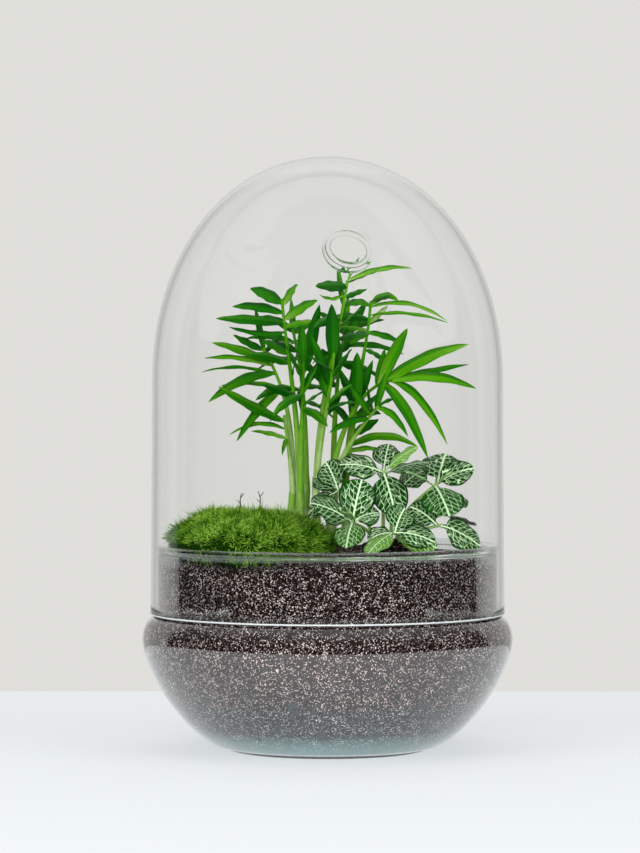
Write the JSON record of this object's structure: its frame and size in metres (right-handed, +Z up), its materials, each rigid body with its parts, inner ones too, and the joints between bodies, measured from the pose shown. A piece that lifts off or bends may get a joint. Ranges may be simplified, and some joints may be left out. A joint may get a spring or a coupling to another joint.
{
  "type": "planted glass terrarium",
  "caption": "Closed egg-shaped glass terrarium: a planted glass bowl of gravel and soil under a tall vented glass dome, with palm seedlings, a nerve plant and moss.",
  "frame": {"origin": "middle of the foot's underside, on the table", "axes": "+Z up, -Y towards the side with the vent and the moss, +X towards the nerve plant"},
  "size_m": [0.188, 0.188, 0.3],
  "materials": {
    "bowl_glass": "clear blown glass, faint green in its thickness",
    "dome_glass": "clear blown glass",
    "gravel": "dull dark grey pebbles",
    "soil": "dark crumbly potting mix with pale grains",
    "peat": "dark moist peat",
    "moss": "fine green tufts",
    "dry_sprig": "dry dark twig",
    "palm_leaf": "smooth satin leaf, paler stems",
    "nerve_leaf": "satin dark green leaf netted with white veins"
  },
  "bodies": {
    "root": {"glass_bowl": "bowl_glass", "glass_dome": "dome_glass", "drainage_gravel": "gravel", "potting_soil": "soil", "palm_root_ball": "peat", "nerve_root_ball": "peat", "moss_cushion": "moss", "sprig_left": "dry_sprig", "sprig_right": "dry_sprig", "palm_front_left": "palm_leaf", "palm_left": "palm_leaf", "palm_middle": "palm_leaf", "palm_right": "palm_leaf", "palm_front_right": "palm_leaf", "palm_back_left": "palm_leaf", "palm_back_right": "palm_leaf", "nerve_stem_top": "nerve_leaf", "nerve_stem_right": "nerve_leaf", "nerve_stem_left": "nerve_leaf", "nerve_stem_low_left": "nerve_leaf", "nerve_stem_front": "nerve_leaf", "nerve_stem_low_right": "nerve_leaf", "nerve_stem_back": "nerve_leaf", "nerve_stem_far_back": "nerve_leaf"}
  },
  "joints": []
}
